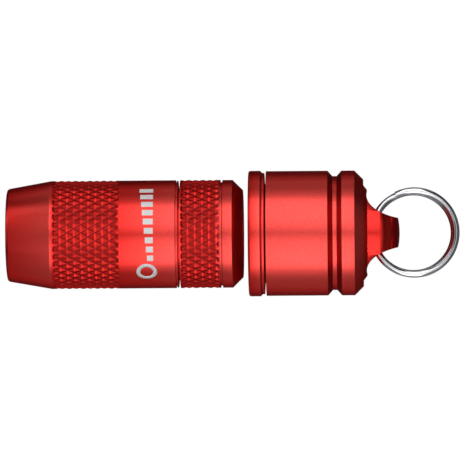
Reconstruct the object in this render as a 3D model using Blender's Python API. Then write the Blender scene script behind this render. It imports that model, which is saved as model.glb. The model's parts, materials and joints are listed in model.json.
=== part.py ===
"""Keychain flashlight: a magnetic light, its charging dock, the cap that covers the plug, and a split ring.

The light, the dock and the cap share one axis, X, with the light's front towards -X and the split
ring towards +X. The origin is the centre of the hole in the cap's lug. Every size is in metres.
"""

import math

import bmesh
import bpy
from mathutils import Matrix, Vector

MM = 0.001

# Clearances
touch_gap = 0.25 * MM  # between two pieces that rest on each other
slide_gap = 0.20 * MM  # round a piece that slides or screws into another
seat_gap = 0.25 * MM  # between the light's tail and the dock's socket, square to their surfaces

# The light: its cell and what lies round it
cell_radius = 5.00 * MM
cell_length = 18.00 * MM
cell_crimp = 0.60 * MM
cell_sleeve_wall = 0.20 * MM
body_wall = 1.55 * MM

# The light: optics and electronics, from the front to the tail
front_lip_length = 0.64 * MM
front_lip_opening = 4.55 * MM
front_lip_flare = 0.45 * MM
front_edge_radius = 0.35 * MM
front_wall = 0.81 * MM
front_cone_length = 5.84 * MM
optic_radius = 5.10 * MM
lens_seal_wire = 0.30 * MM
lens_thickness = 1.10 * MM
reflector_length = 3.45 * MM
reflector_rim = 0.35 * MM
led_hole_radius = 1.90 * MM
led_side = 2.40 * MM
led_thickness = 0.60 * MM
led_dome_radius = 1.00 * MM
led_board_thickness = 1.00 * MM
driver_board_thickness = 0.80 * MM
hall_sensor_side = 1.50 * MM
hall_sensor_thickness = 0.50 * MM
tail_board_thickness = 0.60 * MM
keeper_thickness = 0.80 * MM
tail_wall = 1.26 * MM

# The light: its outer shape at the parting line and the tail
tail_sleeve_length = 8.30 * MM
parting_gap = 0.25 * MM
parting_rib_width = 0.18 * MM
parting_rib_drop = 0.07 * MM
parting_groove_width = 0.13 * MM
parting_groove_depth = 0.30 * MM
sleeve_edge = 0.09 * MM
tail_groove_width = 0.45 * MM
tail_groove_depth = 0.30 * MM
tail_groove_to_chamfer = 1.34 * MM
tail_chamfer = 1.37 * MM
screw_length = 4.00 * MM
screw_wall = 0.55 * MM
body_seal_wire = 0.27 * MM
tail_contact_radius = 1.40 * MM
tail_contact_flange = 0.60 * MM
tail_contact_recess = 0.20 * MM
tail_insulator_wall = 0.80 * MM
tail_insulator_flange = 0.40 * MM

# The dock: socket, magnet and sprung contact
light_seat_travel = 1.90 * MM  # from where the light stands at rest to its seat in the dock
light_rest_gap = 0.73 * MM  # from the light's tail to the dock's mouth at rest
collar_lip = 1.01 * MM
collar_edge_radius = 0.30 * MM
collar_band_length = 1.57 * MM
collar_slope = 0.50 * MM
collar_foot = 0.05 * MM
magnet_ledge = 0.93 * MM
magnet_recess = 0.10 * MM
magnet_thickness = 1.20 * MM
magnet_rim_gap = 0.25 * MM
carrier_floor = 1.15 * MM
dock_seal_wire = 0.30 * MM
dock_seal_squeeze_gap = 0.15 * MM
pin_barrel_radius = 1.00 * MM
pin_barrel_wall = 0.25 * MM
pin_barrel_floor = 0.25 * MM
pin_rod_radius = 0.50 * MM
pin_collar_radius = 0.65 * MM
pin_collar_length = 0.35 * MM
pin_gap = 0.10 * MM
pin_travel = 0.30 * MM
pin_boss_wall = 0.70 * MM
pin_spring_wire = 0.07 * MM
pin_spring_radius = 0.50 * MM
pin_spring_turns = 4

# The dock: its plug, with the outer size that USB-A sockets take
plug_width = 12.00 * MM
plug_height = 4.50 * MM
plug_length = 9.50 * MM
plug_wall = 0.30 * MM
tongue_height = 1.80 * MM
tongue_end_recess = 0.40 * MM
contact_width = 1.00 * MM
contact_height = 0.15 * MM
contact_gap = 0.10 * MM
inner_contact_offset = 1.00 * MM
outer_contact_offset = 3.50 * MM
inner_contact_length = 5.40 * MM
outer_contact_length = 6.40 * MM
chip_side = 1.80 * MM
chip_height = 0.60 * MM

# The cap shell
plug_to_bore_gap = 0.49 * MM
cap_wall = 1.36 * MM
shell_to_collar_step = 0.05 * MM
end_wall = 1.09 * MM
end_chamfer = 1.18 * MM
wide_groove_to_end = 3.81 * MM
wide_groove_floor = 0.66 * MM
wide_groove_depth = 0.70 * MM

# The lug and its split ring
lug_root = 2.11 * MM  # from the cap's end face to the centre of the lug's hole
lug_tip = 2.66 * MM
lug_radius = 5.40 * MM
lug_nose_length = 2.96 * MM  # its end is half an ellipse in section
lug_foot_height = 0.48 * MM
lug_foot_radius = 6.31 * MM
lug_foot_slope = 0.61 * MM
scoop_floor = 1.70 * MM  # from the lug's middle plane, at the scoop's deepest place
scoop_half_length = 6.70 * MM
scoop_half_height = 3.30 * MM
scoop_centre = 5.00 * MM
wire_radius = 0.425 * MM
ring_outer_radius = 6.00 * MM
coil_spacing = 0.90 * MM
coil_crossing = math.radians(44)
coil_start = math.radians(116)
ring_reach = 1.39 * MM  # how far the ring's outer edge passes the middle of the lug's hole
ring_play = 0.13 * MM  # between the two wires and the wall of the lug's hole

# How finely round shapes are cut
outer_segments = 40
inner_segments = 32
small_segments = 12
corner_steps = 3
nose_steps = 9
coil_points_per_turn = 28

# Radii that follow
cell_sleeve_radius = cell_radius + slide_gap + cell_sleeve_wall
body_bore = cell_sleeve_radius + slide_gap
body_radius = body_bore + body_wall
optic_bore = optic_radius + slide_gap
front_radius = optic_bore + front_wall
screw_radius = body_bore + screw_wall
screw_bore = screw_radius + slide_gap
tail_end_radius = body_radius - tail_chamfer
tail_insulator_radius = tail_contact_radius + slide_gap + tail_insulator_wall
tail_hole_radius = tail_insulator_radius + slide_gap

# A piece that lies d away from a 45 degree face is d times the square root of two away along the radius
seat_gap_radial = seat_gap * math.sqrt(2)
seat_depth = light_seat_travel - light_rest_gap
socket_mouth_radius = tail_end_radius + seat_depth + seat_gap_radial
plug_half_diagonal = math.hypot(plug_width, plug_height) / 2
cap_bore = plug_half_diagonal + plug_to_bore_gap
collar_radius = max(socket_mouth_radius + collar_lip, cap_bore + cap_wall + shell_to_collar_step)
cap_radius = collar_radius - shell_to_collar_step
socket_floor_radius = socket_mouth_radius - seat_depth - seat_gap
magnet_bore_in_collar = socket_floor_radius - magnet_ledge
magnet_radius = magnet_bore_in_collar - magnet_rim_gap
carrier_radius = cap_bore - touch_gap
pin_boss_radius = pin_barrel_radius + pin_gap + pin_boss_wall
wire_ring_radius = ring_outer_radius - wire_radius

# The wires nearest the middle of the lug's hole fix its size: two coils abreast, bowed by the ring's curve
ring_centre_x = ring_outer_radius - ring_reach
wire_bow = wire_ring_radius - ring_centre_x
hole_radius = math.hypot(wire_bow, coil_spacing / 2) + wire_radius + ring_play

# Stations along X, from the ring end to the light's front
end_face_x = -lug_root
cavity_end_x = end_face_x - end_wall
plug_end_x = cavity_end_x - touch_gap
plug_root_x = plug_end_x - plug_length
carrier_back_x = plug_root_x - touch_gap
magnet_back_x = carrier_back_x - carrier_floor - touch_gap
magnet_front_x = magnet_back_x - magnet_thickness
socket_floor_x = magnet_front_x - magnet_recess
mouth_x = socket_floor_x - seat_depth - seat_gap
collar_back_x = mouth_x + collar_band_length + collar_slope + collar_foot
carrier_front_x = collar_back_x + slide_gap
shell_mouth_x = carrier_front_x
tail_x = mouth_x - light_rest_gap
tail_inner_x = tail_x - tail_wall
keeper_x = tail_inner_x - touch_gap - keeper_thickness
tail_board_x = keeper_x - touch_gap - tail_board_thickness
hall_sensor_x = tail_board_x - touch_gap - hall_sensor_thickness
cell_x = hall_sensor_x - touch_gap - cell_length
driver_board_x = cell_x - touch_gap - driver_board_thickness
led_board_x = driver_board_x - touch_gap - led_board_thickness
reflector_x = led_board_x - touch_gap - reflector_length
lens_x = reflector_x - touch_gap - lens_thickness
lens_seal_x = lens_x - touch_gap - 2 * lens_seal_wire
lip_inner_x = lens_seal_x - touch_gap
front_x = lip_inner_x - front_lip_length
sleeve_front_x = tail_x - tail_sleeve_length
body_end_x = sleeve_front_x - parting_gap
screw_end_x = sleeve_front_x - screw_length
body_seal_x = screw_end_x - touch_gap - 2 * body_seal_wire
screw_bore_end_x = body_seal_x - touch_gap


def clear_scene():
    for obj in list(bpy.data.objects):
        bpy.data.objects.remove(obj)


def finish(name, colour, roughness, metallic):
    """The node's own material."""
    material = bpy.data.materials.new(name)
    material.use_nodes = True
    shader = material.node_tree.nodes["Principled BSDF"]
    shader.inputs["Base Color"].default_value = (*colour, 1.0)
    shader.inputs["Roughness"].default_value = roughness
    shader.inputs["Metallic"].default_value = metallic
    material.diffuse_color = (*colour, 1.0)
    return material


# Colours are linear; the second and third numbers are roughness and metallic
RED_ANODISED = ((0.62, 0.030, 0.028), 0.38, 0.85)
STEEL = ((0.55, 0.56, 0.58), 0.22, 1.0)
NICKEL = ((0.63, 0.61, 0.57), 0.25, 1.0)
GOLD_PLATE = ((0.83, 0.58, 0.22), 0.25, 1.0)
BLACK_RUBBER = ((0.015, 0.015, 0.016), 0.75, 0.0)
BLACK_PLASTIC = ((0.022, 0.022, 0.024), 0.45, 0.0)
WHITE_BOARD = ((0.78, 0.79, 0.76), 0.50, 0.0)
GREEN_BOARD = ((0.015, 0.16, 0.06), 0.45, 0.0)
CLEAR_LENS = ((0.80, 0.86, 0.88), 0.05, 0.0)
SILVERED = ((0.88, 0.88, 0.90), 0.08, 1.0)
PHOSPHOR = ((0.85, 0.68, 0.12), 0.45, 0.0)
CELL_WRAP = ((0.05, 0.14, 0.42), 0.35, 0.0)
CLEAR_FILM = ((0.60, 0.58, 0.50), 0.30, 0.0)


def frame_at(name, x, parent=None):
    """An empty on the main axis, which carries the pieces that move together."""
    frame = bpy.data.objects.new(name, None)
    bpy.context.collection.objects.link(frame)
    frame.empty_display_size = 5 * MM
    frame.parent = parent
    frame.location.x = x - (parent.matrix_world.translation.x if parent else 0.0)
    bpy.context.view_layer.update()
    return frame


def node_from(bm, name, look, frame, x):
    """Makes the node from a closed bmesh whose own origin is at station x."""
    bmesh.ops.recalc_face_normals(bm, faces=bm.faces)
    mesh = bpy.data.meshes.new(name)
    bm.to_mesh(mesh)
    bm.free()
    mesh.shade_smooth()
    mesh.set_sharp_from_angle(angle=math.radians(30))
    node = bpy.data.objects.new(name, mesh)
    bpy.context.collection.objects.link(node)
    node.data.materials.append(finish(name, *look))
    node.parent = frame
    node.location.x = x - frame.matrix_world.translation.x
    return node


def turned_bmesh(outline, segments):
    """A solid turned about X from (x, radius) points; a closed outline makes a ring."""
    bm = bmesh.new()
    points = [bm.verts.new((x, 0.0, radius)) for x, radius in outline]
    pairs = list(zip(points, points[1:]))
    if all(radius > 0 for _, radius in outline):
        pairs.append((points[-1], points[0]))
    edges = [bm.edges.new(pair) for pair in pairs]
    bmesh.ops.spin(
        bm,
        geom=points + edges,
        cent=(0, 0, 0),
        axis=(1, 0, 0),
        angle=2 * math.pi,
        steps=segments,
    )
    bmesh.ops.remove_doubles(bm, verts=bm.verts, dist=0.001 * MM)
    return bm


def turned(name, look, frame, x, outline, segments=inner_segments):
    return node_from(turned_bmesh(outline, segments), name, look, frame, x)


def ring_outline(length, inner, outer):
    return [(0, inner), (0, outer), (length, outer), (length, inner)]


def disc_outline(length, radius):
    return [(0, 0), (0, radius), (length, radius), (length, 0)]


def arc(centre, radius, start, end, steps=corner_steps):
    """Points on an arc in the (x, radius) plane; angles in degrees, from +x towards +radius."""
    angles = [math.radians(start + (end - start) * i / steps) for i in range(steps + 1)]
    return [(centre[0] + radius * math.cos(a), centre[1] + radius * math.sin(a)) for a in angles]


def o_ring(name, look, frame, x, wire, middle_radius, segments=inner_segments):
    """An O-ring of wire radius `wire`, whose front is at station x."""
    outline = arc((wire, middle_radius), wire, 0, 360, steps=8)[:-1]
    return turned(name, look, frame, x, outline, segments)


def block(name, look, frame, low, high):
    """A box between two corners in the object's own coordinates."""
    bm = bmesh.new()
    size = Vector(high) - Vector(low)
    middle = (Vector(high) + Vector(low)) / 2
    matrix = Matrix.Translation((0, middle.y, middle.z)) @ Matrix.Diagonal((*size, 1))
    bmesh.ops.create_cube(bm, size=1.0, matrix=matrix)
    return node_from(bm, name, look, frame, middle.x)


def elliptic_bar(half_length, half_height, reach, segments):
    """A bar along Y with an elliptic section, centred on its own origin."""
    bm = bmesh.new()
    lie_along_y = Matrix.Rotation(math.pi / 2, 4, "X")
    section = Matrix.Diagonal((half_length, 1, half_height, 1))
    bmesh.ops.create_cone(
        bm,
        cap_ends=True,
        segments=segments,
        radius1=1,
        radius2=1,
        depth=2 * reach,
        matrix=section @ lie_along_y,
    )
    return bm


def cutter(bm, name, frame, location, target):
    """Cuts the shape out of the target and leaves it hidden."""
    bmesh.ops.recalc_face_normals(bm, faces=bm.faces)
    mesh = bpy.data.meshes.new(name)
    bm.to_mesh(mesh)
    bm.free()
    guide = bpy.data.objects.new(name, mesh)
    bpy.context.collection.objects.link(guide)
    guide.parent = frame
    guide.location = Vector(location) - frame.matrix_world.translation
    guide.hide_render = True
    guide.display_type = "WIRE"
    cut = target.modifiers.new(name, "BOOLEAN")
    cut.operation = "DIFFERENCE"
    cut.object = guide
    return guide


def make_split_ring(frame):
    """Two coils of round wire abreast, with one crossing between them where the ends are cut."""
    turn = 2 * math.pi
    total = 2 * turn - coil_crossing
    count = round(total / turn * coil_points_per_turn)
    spine = bpy.data.curves.new("split_ring", "CURVE")
    spine.dimensions = "3D"
    spine.twist_mode = "MINIMUM"
    spine.bevel_depth = wire_radius
    spine.bevel_resolution = 3
    spine.use_fill_caps = True
    wire = spine.splines.new("POLY")
    wire.points.add(count)
    for i, point in enumerate(wire.points):
        wound = total * i / count
        share = (wound - (turn - coil_crossing)) / coil_crossing
        share = min(max(share, 0.0), 1.0)
        step = share * share * (3 - 2 * share)
        angle = coil_start + wound
        x = ring_centre_x + wire_ring_radius * math.cos(angle)
        y = coil_spacing * (step - 0.5)
        z = wire_ring_radius * math.sin(angle)
        point.co = (x, y, z, 1.0)
    node = bpy.data.objects.new("split_ring", spine)
    bpy.context.collection.objects.link(node)
    spine.materials.append(finish("split_ring", *STEEL))
    node.parent = frame
    return node


def make_cap_shell(frame):
    """The cap with its lug, turned in one piece; two scoops thin the lug and a hole takes the ring."""
    groove_middle = end_face_x - wide_groove_to_end
    half_floor = wide_groove_floor / 2
    half_mouth = half_floor + wide_groove_depth
    floor_radius = cap_radius - wide_groove_depth
    lug_foot_x = end_face_x + lug_foot_height
    nose_x = lug_tip - lug_nose_length
    quarter = math.pi / 2
    nose = [quarter * (1 - i / nose_steps) for i in range(nose_steps)]
    outline = [
        (shell_mouth_x, cap_bore),
        (shell_mouth_x, cap_radius),
        (groove_middle - half_mouth, cap_radius),
        (groove_middle - half_floor, floor_radius),
        (groove_middle + half_floor, floor_radius),
        (groove_middle + half_mouth, cap_radius),
        (end_face_x - end_chamfer, cap_radius),
        (end_face_x, cap_radius - end_chamfer),
        (end_face_x, lug_foot_radius),
        (lug_foot_x, lug_foot_radius - lug_foot_slope),
        (lug_foot_x, lug_radius),
        *[(nose_x + lug_nose_length * math.cos(t), lug_radius * math.sin(t)) for t in nose],
        (lug_tip, 0),
        (cavity_end_x, 0),
        (cavity_end_x, cap_bore),
    ]
    # The outline closes on the bore's mouth, so it is written from the axis to the axis
    start = outline.index((cavity_end_x, 0))
    outline = outline[start:] + outline[:start]
    shell = turned("cap_shell", RED_ANODISED, frame, 0, outline, outer_segments)
    scoop_height = scoop_floor + scoop_half_height
    for side, name in ((1, "upper_scoop"), (-1, "lower_scoop")):
        scoop = elliptic_bar(scoop_half_length, scoop_half_height, cap_radius, outer_segments)
        cutter(scoop, name, frame, (scoop_centre, 0, side * scoop_height), shell)
    hole = bmesh.new()
    bmesh.ops.create_cone(
        hole,
        cap_ends=True,
        segments=inner_segments,
        radius1=hole_radius,
        radius2=hole_radius,
        depth=2 * cap_radius,
    )
    cutter(hole, "ring_hole", frame, (0, 0, 0), shell)
    return shell


def make_collar(frame):
    """The dock's mouth: a 45 degree socket that centres the light's tail."""
    slope_x = mouth_x + collar_band_length
    foot_radius = collar_radius - collar_slope
    edge_centre = (mouth_x + collar_edge_radius, collar_radius - collar_edge_radius)
    outline = [
        (mouth_x, socket_mouth_radius),
        *arc(edge_centre, collar_edge_radius, 180, 90),
        (slope_x, collar_radius),
        (slope_x + collar_slope, foot_radius),
        (collar_back_x, foot_radius),
        (collar_back_x, magnet_bore_in_collar),
        (socket_floor_x, magnet_bore_in_collar),
        (socket_floor_x, socket_floor_radius),
    ]
    turned("dock_collar", RED_ANODISED, frame, 0, outline, outer_segments)


def make_carrier(frame):
    """The moulded core of the dock: magnet pocket in front, seal groove round it, pin through its middle."""
    pocket_x = magnet_back_x + touch_gap
    groove_middle = (carrier_front_x + carrier_back_x) / 2
    groove_half = dock_seal_wire + slide_gap
    seal_middle = cap_bore - dock_seal_squeeze_gap - dock_seal_wire
    groove_floor = seal_middle - dock_seal_wire - slide_gap
    pin_bore = pin_barrel_radius + pin_gap
    outline = [
        (carrier_front_x, magnet_bore_in_collar),
        (carrier_front_x, carrier_radius),
        (groove_middle - groove_half, carrier_radius),
        (groove_middle - groove_half, groove_floor),
        (groove_middle + groove_half, groove_floor),
        (groove_middle + groove_half, carrier_radius),
        (carrier_back_x, carrier_radius),
        (carrier_back_x, pin_bore),
        (magnet_front_x + touch_gap / 2, pin_bore),
        (magnet_front_x + touch_gap / 2, pin_boss_radius),
        (pocket_x, pin_boss_radius),
        (pocket_x, magnet_bore_in_collar),
    ]
    turned("dock_carrier", BLACK_PLASTIC, frame, 0, outline, outer_segments)
    magnet = ring_outline(magnet_thickness, pin_boss_radius + touch_gap, magnet_radius)
    turned("dock_magnet", NICKEL, frame, magnet_front_x, magnet)
    seal_x = groove_middle - dock_seal_wire
    o_ring("dock_seal", BLACK_RUBBER, frame, seal_x, dock_seal_wire, seal_middle, outer_segments)


def make_sprung_pin(dock_frame, pin_frame):
    """A contact pin that stands a little proud of the magnet and gives when the light seats."""
    bore = pin_barrel_radius - pin_barrel_wall
    mouth = pin_rod_radius + pin_gap
    front = magnet_front_x + touch_gap
    back = carrier_back_x - pin_gap
    shoulder = front + pin_barrel_wall
    floor = back - pin_barrel_floor
    barrel = [
        (back, 0),
        (back, pin_barrel_radius),
        (front, pin_barrel_radius),
        (front, mouth),
        (shoulder, mouth),
        (shoulder, bore),
        (floor, bore),
        (floor, 0),
    ]
    turned("pin_barrel", GOLD_PLATE, dock_frame, 0, barrel)
    tip = magnet_front_x - pin_travel
    collar_front = shoulder + pin_gap
    collar_back = collar_front + pin_collar_length
    tip_centre = (tip + pin_rod_radius / 2, pin_rod_radius / 2)
    plunger = [
        (tip, 0),
        *arc(tip_centre, pin_rod_radius / 2, 180, 90),
        (collar_front, pin_rod_radius),
        (collar_front, pin_collar_radius),
        (collar_back, pin_collar_radius),
        (collar_back, 0),
    ]
    turned("pin_plunger", GOLD_PLATE, pin_frame, 0, plunger)

    start = collar_back + pin_gap + pin_spring_wire
    end = floor - pin_gap - pin_spring_wire
    steps = pin_spring_turns * small_segments
    spring = bpy.data.curves.new("pin_spring", "CURVE")
    spring.dimensions = "3D"
    spring.bevel_depth = pin_spring_wire
    spring.bevel_resolution = 1
    spring.use_fill_caps = True
    helix = spring.splines.new("POLY")
    helix.points.add(steps)
    for i, point in enumerate(helix.points):
        angle = 2 * math.pi * i / small_segments
        x = start + (end - start) * i / steps
        point.co = (x, pin_spring_radius * math.cos(angle), pin_spring_radius * math.sin(angle), 1.0)
    node = bpy.data.objects.new("pin_spring", spring)
    bpy.context.collection.objects.link(node)
    spring.materials.append(finish("pin_spring", *STEEL))
    node.parent = dock_frame
    node.location.x = -dock_frame.matrix_world.translation.x


def make_plug(frame):
    """A steel shell round a tongue board with four plated contacts; the upper half stays open."""
    half = Vector((plug_length / 2, plug_width / 2, plug_height / 2))
    middle_x = plug_root_x + plug_length / 2
    shell = block(
        "plug_shell",
        STEEL,
        frame,
        (middle_x - half.x, -half.y, -half.z),
        (middle_x + half.x, half.y, half.z),
    )
    hollow = bmesh.new()
    inside = Vector((2 * plug_length, plug_width - 2 * plug_wall, plug_height - 2 * plug_wall))
    bmesh.ops.create_cube(hollow, size=1.0, matrix=Matrix.Diagonal((*inside, 1)))
    cutter(hollow, "plug_hollow", frame, (middle_x, 0, 0), shell)

    inner_half_width = plug_width / 2 - plug_wall - slide_gap
    tongue_low = -plug_height / 2 + plug_wall + slide_gap
    tongue_top = tongue_low + tongue_height
    tongue_end = plug_end_x - tongue_end_recess
    block(
        "plug_tongue",
        WHITE_BOARD,
        frame,
        (carrier_back_x + touch_gap, -inner_half_width, tongue_low),
        (tongue_end, inner_half_width, tongue_top),
    )
    contacts = (
        (-outer_contact_offset, outer_contact_length),
        (-inner_contact_offset, inner_contact_length),
        (inner_contact_offset, inner_contact_length),
        (outer_contact_offset, outer_contact_length),
    )
    contact_low = tongue_top + contact_gap
    for number, (y, length) in enumerate(contacts, start=1):
        block(
            f"plug_contact_{number}",
            GOLD_PLATE,
            frame,
            (tongue_end - length, y - contact_width / 2, contact_low),
            (tongue_end, y + contact_width / 2, contact_low + contact_height),
        )
    chip_x = plug_root_x + touch_gap
    block(
        "charging_chip",
        BLACK_PLASTIC,
        frame,
        (chip_x, -chip_side / 2, contact_low),
        (chip_x + chip_side, chip_side / 2, contact_low + chip_height),
    )


def make_head_body(frame):
    """The light's body and front in one piece; everything inside it goes in from the rear."""
    groove_x = body_end_x - parting_rib_width - parting_groove_width
    groove_radius = body_radius - parting_groove_depth
    rib_x = body_end_x - parting_rib_width
    rib_radius = body_radius - parting_rib_drop
    edge_centre = (front_x + front_edge_radius, front_radius - front_edge_radius)
    outline = [
        (front_x, front_lip_opening + front_lip_flare),
        *arc(edge_centre, front_edge_radius, 180, 100),
        (front_x + front_cone_length, body_radius),
        (groove_x, body_radius),
        (groove_x, groove_radius),
        (rib_x, groove_radius),
        (rib_x, rib_radius),
        (body_end_x, rib_radius),
        (body_end_x, screw_bore),
        (screw_bore_end_x, screw_bore),
        (screw_bore_end_x, body_bore),
        (driver_board_x - touch_gap, body_bore),
        (led_board_x, optic_bore),
        (lip_inner_x, optic_bore),
        (lip_inner_x, front_lip_opening),
        (front_x + front_lip_flare, front_lip_opening),
    ]
    turned("head_body", RED_ANODISED, frame, 0, outline, outer_segments)


def make_tail_sleeve(frame):
    """The screwed tail: its end wall takes the contact, and its chamfer centres the light in the dock."""
    chamfer_x = tail_x - tail_chamfer
    groove_end = chamfer_x - tail_groove_to_chamfer
    groove_start = groove_end - tail_groove_width
    groove_radius = body_radius - tail_groove_depth
    outline = [
        (screw_end_x, body_bore),
        (screw_end_x, screw_radius),
        (sleeve_front_x, screw_radius),
        (sleeve_front_x, body_radius - sleeve_edge),
        (sleeve_front_x + sleeve_edge, body_radius),
        (groove_start, body_radius),
        (groove_start, groove_radius),
        (groove_end, groove_radius),
        (groove_end, body_radius),
        (chamfer_x, body_radius),
        (tail_x, tail_end_radius),
        (tail_x, tail_hole_radius),
        (tail_inner_x, tail_hole_radius),
        (tail_inner_x, body_bore),
    ]
    turned("tail_sleeve", RED_ANODISED, frame, 0, outline, outer_segments)


def make_optics(frame):
    seal_middle = optic_radius - lens_seal_wire
    o_ring("lens_seal", BLACK_RUBBER, frame, lens_seal_x, lens_seal_wire, seal_middle)
    turned("lens", CLEAR_LENS, frame, lens_x, disc_outline(lens_thickness, optic_radius))

    # The bowl is a parabola from its rim to the hole that the LED looks through
    rim = optic_radius - reflector_rim
    bowl = []
    bowl_steps = 6
    for i in range(bowl_steps + 1):
        radius = led_hole_radius + (rim - led_hole_radius) * i / bowl_steps
        rise = (radius**2 - led_hole_radius**2) / (rim**2 - led_hole_radius**2)
        bowl.append((reflector_length * (1 - rise), radius))
    outline = [(reflector_length, optic_radius), (0, optic_radius), *reversed(bowl)]
    turned("reflector", SILVERED, frame, reflector_x, outline)

    led_back = led_board_x - touch_gap
    led_front = led_back - led_thickness
    half_side = led_side / 2
    block(
        "led_emitter",
        PHOSPHOR,
        frame,
        (led_front, -half_side, -half_side),
        (led_back, half_side, half_side),
    )
    dome_back = led_front - touch_gap
    dome = [*arc((0, 0), led_dome_radius, 180, 90, steps=5), (0, 0)]
    turned("led_dome", CLEAR_LENS, frame, dome_back, dome)
    led_board = disc_outline(led_board_thickness, optic_radius)
    turned("led_board", WHITE_BOARD, frame, led_board_x, led_board)


def make_electronics(frame):
    driver = disc_outline(driver_board_thickness, cell_sleeve_radius)
    turned("driver_board", GREEN_BOARD, frame, driver_board_x, driver)
    cell = [
        (0, 0),
        (0, cell_radius - cell_crimp),
        (cell_crimp, cell_radius),
        (cell_length - cell_crimp, cell_radius),
        (cell_length, cell_radius - cell_crimp),
        (cell_length, 0),
    ]
    turned("lithium_cell", CELL_WRAP, frame, cell_x, cell)
    sleeve = ring_outline(cell_length, cell_radius + slide_gap, cell_sleeve_radius)
    turned("cell_sleeve", CLEAR_FILM, frame, cell_x, sleeve)
    half_side = hall_sensor_side / 2
    block(
        "hall_sensor",
        BLACK_PLASTIC,
        frame,
        (hall_sensor_x, -half_side, -half_side),
        (hall_sensor_x + hall_sensor_thickness, half_side, half_side),
    )
    tail_board = disc_outline(tail_board_thickness, cell_sleeve_radius)
    turned("tail_board", GREEN_BOARD, frame, tail_board_x, tail_board)


def make_tail_fittings(frame):
    """The steel plate that the dock's magnet pulls, and the insulated contact in the end wall."""
    seal_middle = body_bore + slide_gap + body_seal_wire
    o_ring("body_seal", BLACK_RUBBER, frame, body_seal_x, body_seal_wire, seal_middle)
    flange_radius = tail_hole_radius + tail_insulator_flange
    keeper = ring_outline(keeper_thickness, flange_radius + slide_gap, cell_sleeve_radius)
    turned("keeper_plate", STEEL, frame, keeper_x, keeper)

    contact_bore = tail_contact_radius + slide_gap
    head_radius = tail_contact_radius + tail_contact_flange
    head_bore = head_radius + slide_gap
    flange_front = keeper_x
    flange_back = tail_inner_x - touch_gap
    head_floor = flange_front + keeper_thickness / 2
    insulator = [
        (flange_front, head_bore),
        (flange_front, flange_radius),
        (flange_back, flange_radius),
        (flange_back, tail_insulator_radius),
        (tail_x - tail_contact_recess, tail_insulator_radius),
        (tail_x - tail_contact_recess, contact_bore),
        (head_floor, contact_bore),
        (head_floor, head_bore),
    ]
    turned("tail_insulator", BLACK_PLASTIC, frame, 0, insulator)
    contact = [
        (flange_front, 0),
        (flange_front, head_radius),
        (head_floor - pin_gap, head_radius),
        (head_floor - pin_gap, tail_contact_radius),
        (tail_x - tail_contact_recess, tail_contact_radius),
        (tail_x - tail_contact_recess, 0),
    ]
    turned("tail_contact", GOLD_PLATE, frame, 0, contact)


def main():
    clear_scene()
    ring_frame = frame_at("ring_frame", 0)
    cap_frame = frame_at("cap_frame", 0, ring_frame)
    dock_frame = frame_at("dock_frame", mouth_x, cap_frame)
    pin_frame = frame_at("pin_frame", magnet_front_x, dock_frame)
    light_frame = frame_at("light_frame", tail_x, dock_frame)

    make_split_ring(ring_frame)
    make_cap_shell(cap_frame)
    make_collar(dock_frame)
    make_carrier(dock_frame)
    make_sprung_pin(dock_frame, pin_frame)
    make_plug(dock_frame)
    make_head_body(light_frame)
    make_tail_sleeve(light_frame)
    make_optics(light_frame)
    make_electronics(light_frame)
    make_tail_fittings(light_frame)


main()
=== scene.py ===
# %% [markdown]
# # A keychain flashlight in red anodised aluminium
# The object is a small magnetic flashlight, the charging dock that it docks on, the wide cap that
# hides the dock's plug, and a split ring. Its parts are turned on a lathe, so most of this lesson is
# about turned shapes, knurling and anodised metal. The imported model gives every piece's place and
# size; this script only gives the looks. Lengths below are in millimetres times MM, so in metres.

import json
import math

import bmesh
import bpy
import numpy as np
from mathutils import Matrix, Vector


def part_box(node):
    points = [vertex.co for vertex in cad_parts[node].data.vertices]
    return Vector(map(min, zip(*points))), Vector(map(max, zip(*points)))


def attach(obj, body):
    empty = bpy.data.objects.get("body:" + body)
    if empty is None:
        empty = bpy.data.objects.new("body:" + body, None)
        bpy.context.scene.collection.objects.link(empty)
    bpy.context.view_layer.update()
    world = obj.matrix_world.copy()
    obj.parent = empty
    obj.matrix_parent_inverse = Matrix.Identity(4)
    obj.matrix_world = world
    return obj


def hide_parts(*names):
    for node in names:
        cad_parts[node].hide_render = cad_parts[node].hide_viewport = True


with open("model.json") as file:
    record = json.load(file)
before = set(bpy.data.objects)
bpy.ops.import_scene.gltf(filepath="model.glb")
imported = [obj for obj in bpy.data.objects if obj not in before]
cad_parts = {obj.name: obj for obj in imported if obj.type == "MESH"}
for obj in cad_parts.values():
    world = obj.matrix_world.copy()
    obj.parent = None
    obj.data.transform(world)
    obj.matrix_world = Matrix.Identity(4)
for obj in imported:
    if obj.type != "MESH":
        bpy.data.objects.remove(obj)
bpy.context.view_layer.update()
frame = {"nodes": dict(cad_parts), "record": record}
MM = 0.001

# %% [markdown]
# ## Small helpers
# A node tree is easiest to read when each node is one line: its kind, what goes into it and its
# settings. `add` does that for shader and geometry trees alike, `out` gives the node's first output
# instead, and the helpers after it are short for the kinds that come up most. Colours are written as
# the hex values that a paint program shows, and Blender computes with linear light, so `linear`
# converts them.


# %% Helpers for nodes and colours
def feed(tree, node, inputs):
    """Fills a node's inputs, by name or number, with values or with other nodes' outputs."""
    for key, value in inputs.items():
        if isinstance(value, bpy.types.NodeSocket):
            tree.links.new(value, node.inputs[key])
        else:
            node.inputs[key].default_value = value


def add(tree, kind, inputs=None, **settings):
    """Adds a node with its settings, and feeds it."""
    node = tree.nodes.new(kind)
    for name, value in settings.items():
        setattr(node, name, value)
    feed(tree, node, inputs or {})
    return node


def out(tree, kind, inputs=None, **settings):
    """Adds a node and gives its first output."""
    return add(tree, kind, inputs, **settings).outputs[0]


def calc(tree, operation, *values):
    """The result of a Math node."""
    return out(tree, "ShaderNodeMath", dict(enumerate(values)), operation=operation)


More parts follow.
